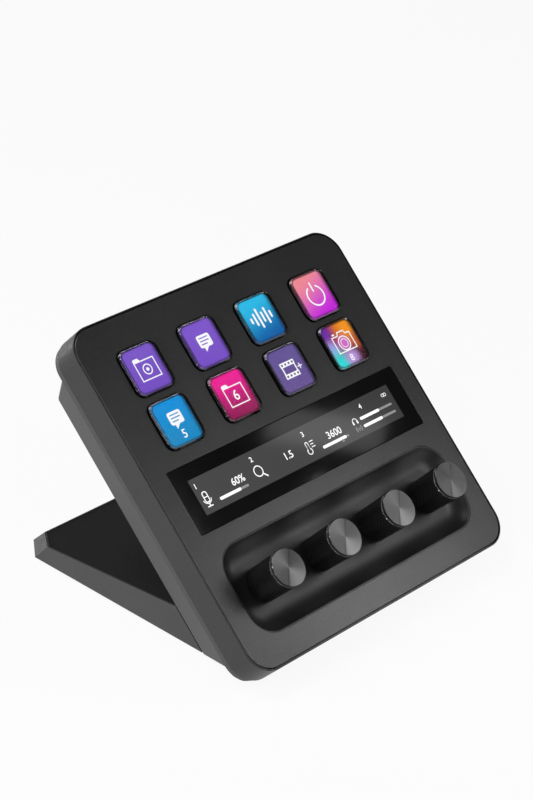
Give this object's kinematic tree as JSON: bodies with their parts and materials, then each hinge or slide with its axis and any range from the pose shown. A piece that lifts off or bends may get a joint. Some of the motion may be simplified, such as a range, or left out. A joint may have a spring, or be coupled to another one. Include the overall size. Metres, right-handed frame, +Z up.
{
  "type": "macro keypad with knobs",
  "caption": "Tilted desk keypad with picture keys, a touch strip, push dials in a recess and a wedge-shaped foot.",
  "frame": {"origin": "middle of the footprint, on the surface that the foot pad stands on", "axes": "+Z up, -Y towards the user in front of the keys, +X to the user's right"},
  "size_m": [0.14, 0.1298, 0.1035],
  "materials": {
    "face_coating": "fine matte charcoal",
    "band": "fine matte charcoal",
    "inner_plastic": "moulded, black",
    "silicone": "soft, black",
    "circuit_board": "dark circuit board",
    "display_panel": "display panel",
    "plate_steel": "thin plate",
    "black_glass": "glossy, black-bordered",
    "strip_screen": "lit strip display",
    "tray": "satin black",
    "encoder_metal": "stamped and turned",
    "rear_housing": "fine matte charcoal",
    "screw_steel": "plated",
    "chip_black": "moulded packages",
    "socket_metal": "drawn shell",
    "ribbon": "flat flexible lead",
    "stand_housing": "fine matte charcoal",
    "mat": "fine matte black",
    "ballast_steel": "plain plate",
    "pad_rubber": "soft, black",
    "key_frame": "glossy black",
    "key_clear": "clear, bevelled",
    "shaft_steel": "ground",
    "knurled_black": "black, fine diamond knurl",
    "spun_metal": "spun face, dark grey"
  },
  "bodies": {
    "housing": {"faceplate": "face_coating", "front_frame": "band", "carrier_frame": "inner_plastic", "key_membrane": "silicone", "key_board": "circuit_board", "key_display": "display_panel", "display_plate": "plate_steel", "touch_glass": "black_glass", "strip_display": "strip_screen", "dial_tray": "tray", "dial_board": "circuit_board", "encoder_cases": "encoder_metal", "rear_cover": "rear_housing", "housing_screws": "screw_steel", "main_board": "circuit_board", "board_parts": "chip_black", "board_screws": "screw_steel", "usb_socket": "socket_metal", "display_ribbon": "ribbon", "dial_ribbon": "ribbon", "stand_screws": "screw_steel", "stand_shell": "stand_housing", "stand_mat": "mat", "stand_base": "inner_plastic", "stand_weight": "ballast_steel", "foot_pad": "pad_rubber"},
    "key_1": {"key_skirt_1": "key_frame", "key_lens_1": "key_clear"},
    "key_2": {"key_skirt_2": "key_frame", "key_lens_2": "key_clear"},
    "key_3": {"key_skirt_3": "key_frame", "key_lens_3": "key_clear"},
    "key_4": {"key_skirt_4": "key_frame", "key_lens_4": "key_clear"},
    "key_5": {"key_skirt_5": "key_frame", "key_lens_5": "key_clear"},
    "key_6": {"key_skirt_6": "key_frame", "key_lens_6": "key_clear"},
    "key_7": {"key_skirt_7": "key_frame", "key_lens_7": "key_clear"},
    "key_8": {"key_skirt_8": "key_frame", "key_lens_8": "key_clear"},
    "dial_1_slider": {"push_slider_1": "inner_plastic"},
    "dial_1": {"knob_shaft_1": "shaft_steel", "knob_grip_1": "knurled_black", "knob_cap_1": "spun_metal"},
    "dial_2_slider": {"push_slider_2": "inner_plastic"},
    "dial_2": {"knob_shaft_2": "shaft_steel", "knob_grip_2": "knurled_black", "knob_cap_2": "spun_metal"},
    "dial_3_slider": {"push_slider_3": "inner_plastic"},
    "dial_3": {"knob_shaft_3": "shaft_steel", "knob_grip_3": "knurled_black", "knob_cap_3": "spun_metal"},
    "dial_4_slider": {"push_slider_4": "inner_plastic"},
    "dial_4": {"knob_shaft_4": "shaft_steel", "knob_grip_4": "knurled_black", "knob_cap_4": "spun_metal"}
  },
  "joints": [
    {"name": "key_1_press", "type": "slide", "parent": "housing", "child": "key_1", "axis": [0, 0.6884, -0.7254], "range_m": [0, 0.0012], "stiffness_N_per_m": 500, "springref_m": -0.0004, "deforming": ["key_membrane"]},
    {"name": "key_2_press", "type": "slide", "parent": "housing", "child": "key_2", "axis": [0, 0.6884, -0.7254], "range_m": [0, 0.0012], "stiffness_N_per_m": 500, "springref_m": -0.0004, "deforming": ["key_membrane"]},
    {"name": "key_3_press", "type": "slide", "parent": "housing", "child": "key_3", "axis": [0, 0.6884, -0.7254], "range_m": [0, 0.0012], "stiffness_N_per_m": 500, "springref_m": -0.0004, "deforming": ["key_membrane"]},
    {"name": "key_4_press", "type": "slide", "parent": "housing", "child": "key_4", "axis": [0, 0.6884, -0.7254], "range_m": [0, 0.0012], "stiffness_N_per_m": 500, "springref_m": -0.0004, "deforming": ["key_membrane"]},
    {"name": "key_5_press", "type": "slide", "parent": "housing", "child": "key_5", "axis": [0, 0.6884, -0.7254], "range_m": [0, 0.0012], "stiffness_N_per_m": 500, "springref_m": -0.0004, "deforming": ["key_membrane"]},
    {"name": "key_6_press", "type": "slide", "parent": "housing", "child": "key_6", "axis": [0, 0.6884, -0.7254], "range_m": [0, 0.0012], "stiffness_N_per_m": 500, "springref_m": -0.0004, "deforming": ["key_membrane"]},
    {"name": "key_7_press", "type": "slide", "parent": "housing", "child": "key_7", "axis": [0, 0.6884, -0.7254], "range_m": [0, 0.0012], "stiffness_N_per_m": 500, "springref_m": -0.0004, "deforming": ["key_membrane"]},
    {"name": "key_8_press", "type": "slide", "parent": "housing", "child": "key_8", "axis": [0, 0.6884, -0.7254], "range_m": [0, 0.0012], "stiffness_N_per_m": 500, "springref_m": -0.0004, "deforming": ["key_membrane"]},
    {"name": "dial_1_push", "type": "slide", "parent": "housing", "child": "dial_1_slider", "axis": [0, 0.6884, -0.7254], "range_m": [0, 0.0008], "stiffness_N_per_m": 2500, "springref_m": -0.0006},
    {"name": "dial_1_turn", "type": "hinge", "parent": "dial_1_slider", "child": "dial_1", "pos_m": [-0.04478, -0.04425, 0.02851], "axis": [0, -0.6884, 0.7254], "continuous": true},
    {"name": "dial_2_push", "type": "slide", "parent": "housing", "child": "dial_2_slider", "axis": [0, 0.6884, -0.7254], "range_m": [0, 0.0008], "stiffness_N_per_m": 2500, "springref_m": -0.0006},
    {"name": "dial_2_turn", "type": "hinge", "parent": "dial_2_slider", "child": "dial_2", "pos_m": [-0.01493, -0.04425, 0.02851], "axis": [0, -0.6884, 0.7254], "continuous": true},
    {"name": "dial_3_push", "type": "slide", "parent": "housing", "child": "dial_3_slider", "axis": [0, 0.6884, -0.7254], "range_m": [0, 0.0008], "stiffness_N_per_m": 2500, "springref_m": -0.0006},
    {"name": "dial_3_turn", "type": "hinge", "parent": "dial_3_slider", "child": "dial_3", "pos_m": [0.01493, -0.04425, 0.02851], "axis": [0, -0.6884, 0.7254], "continuous": true},
    {"name": "dial_4_push", "type": "slide", "parent": "housing", "child": "dial_4_slider", "axis": [0, 0.6884, -0.7254], "range_m": [0, 0.0008], "stiffness_N_per_m": 2500, "springref_m": -0.0006},
    {"name": "dial_4_turn", "type": "hinge", "parent": "dial_4_slider", "child": "dial_4", "pos_m": [0.04478, -0.04425, 0.02851], "axis": [0, -0.6884, 0.7254], "continuous": true}
  ]
}
